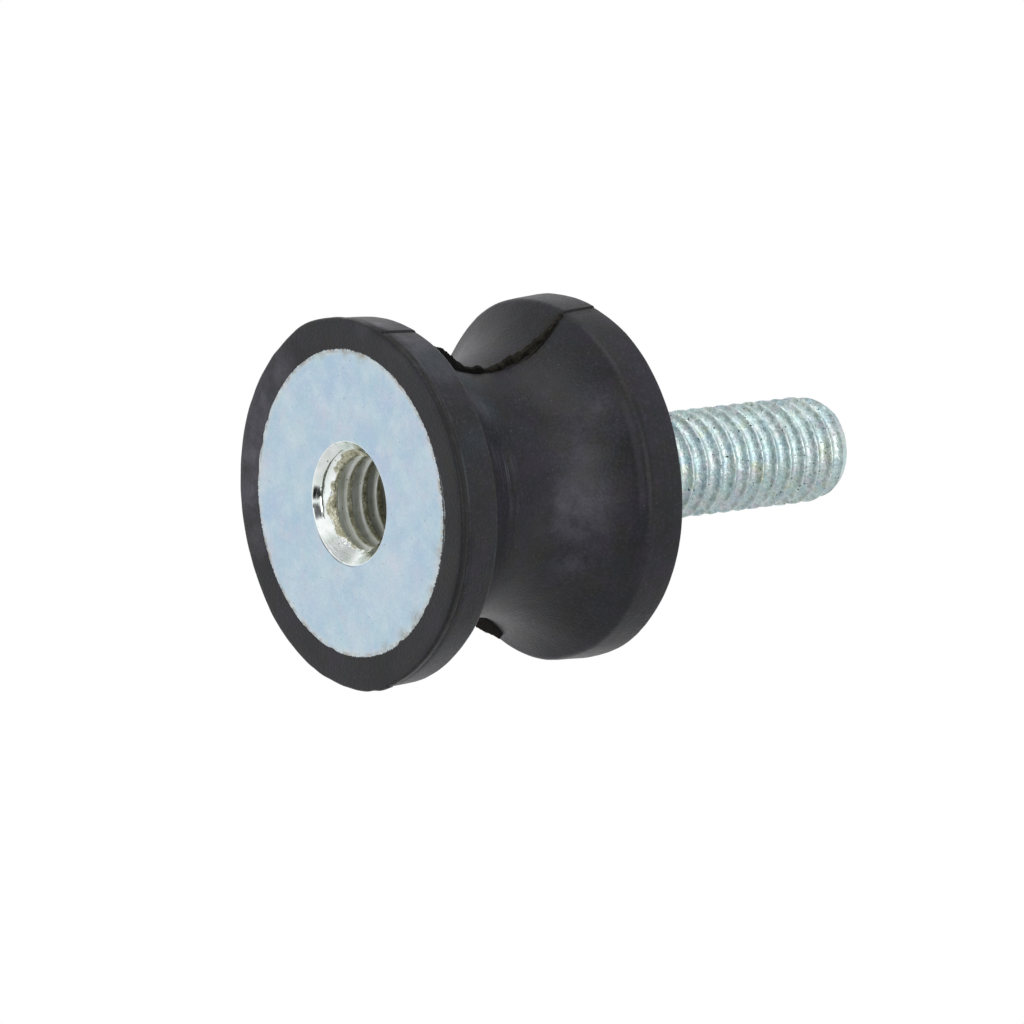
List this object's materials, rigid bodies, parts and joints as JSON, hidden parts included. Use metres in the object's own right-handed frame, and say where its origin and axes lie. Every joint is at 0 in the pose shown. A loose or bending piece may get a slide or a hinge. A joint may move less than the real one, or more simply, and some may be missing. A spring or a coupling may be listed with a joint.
{
  "type": "bobbin vibration mount",
  "caption": "Waisted rubber bobbin bonded to steel end plates, tapped at one end and studded at the other, to carry a machine and damp its vibration.",
  "frame": {"origin": "centre of the tapped end face, which the part stands on", "axes": "+Z along the axis from the tapped face to the stud; the mould's parting plane is the XZ plane, with the plainer flash at +X and the torn web of flash at -X"},
  "size_m": [0.02, 0.02, 0.033],
  "materials": {
    "moulded_rubber": "matte moulded, faint bloom",
    "zinc_plate": "clear zinc plated, satin",
    "zinc_thread": "clear zinc plated rolled thread"
  },
  "bodies": {
    "root": {"rubber_body": "moulded_rubber", "female_insert": "zinc_plate", "male_plate": "zinc_plate", "threaded_stud": "zinc_thread"}
  },
  "joints": []
}
